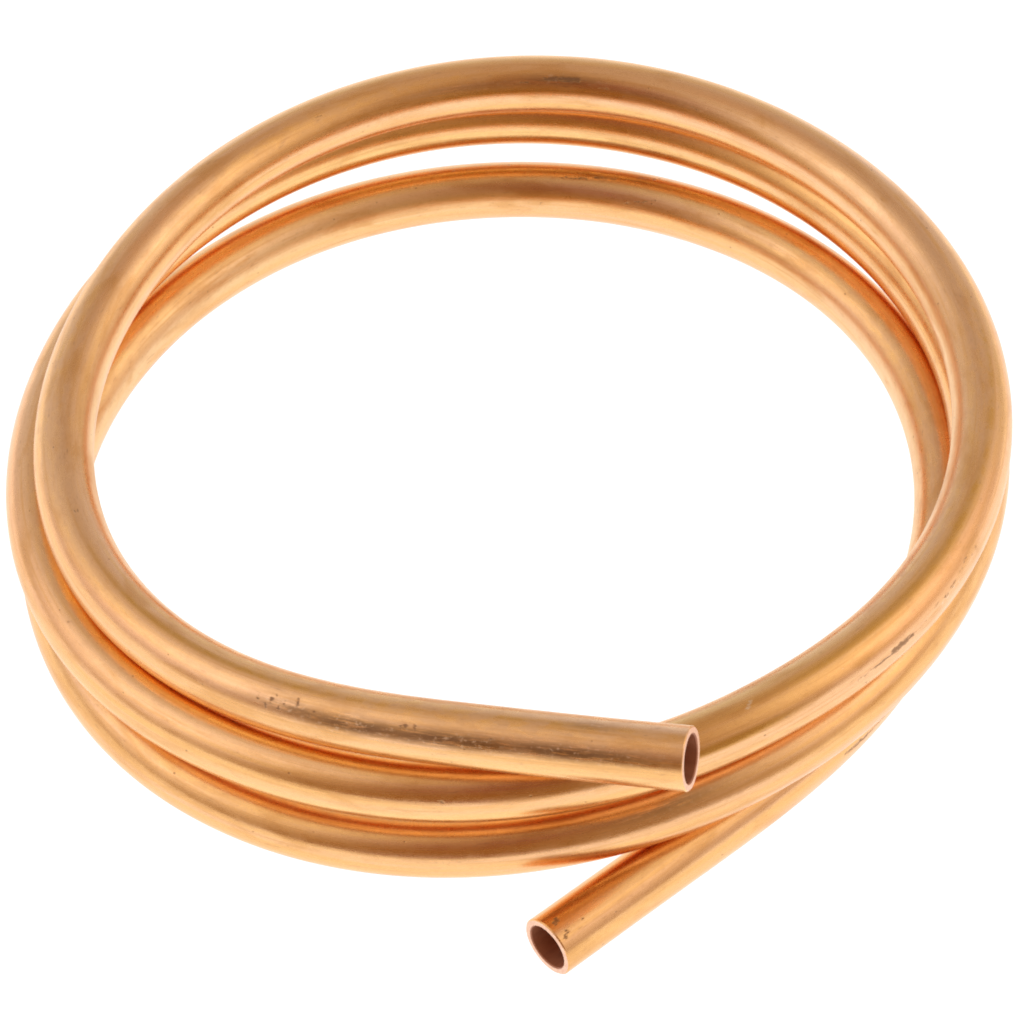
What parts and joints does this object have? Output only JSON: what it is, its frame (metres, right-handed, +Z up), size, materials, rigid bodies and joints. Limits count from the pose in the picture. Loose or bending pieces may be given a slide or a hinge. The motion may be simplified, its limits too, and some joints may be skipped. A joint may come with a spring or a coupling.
{
  "type": "copper tube coil",
  "caption": "Loose open coil of round copper tube lying flat, with square-cut open ends.",
  "frame": {"origin": "centre of the coil's bounding box on the floor it lies on", "axes": "+Z up from the floor along the coil's axis, -Y towards the two cut ends at the front"},
  "size_m": [0.1334, 0.15, 0.0355],
  "materials": {
    "copper": "satin drawn copper"
  },
  "bodies": {
    "root": {"tube": "copper"}
  },
  "joints": []
}
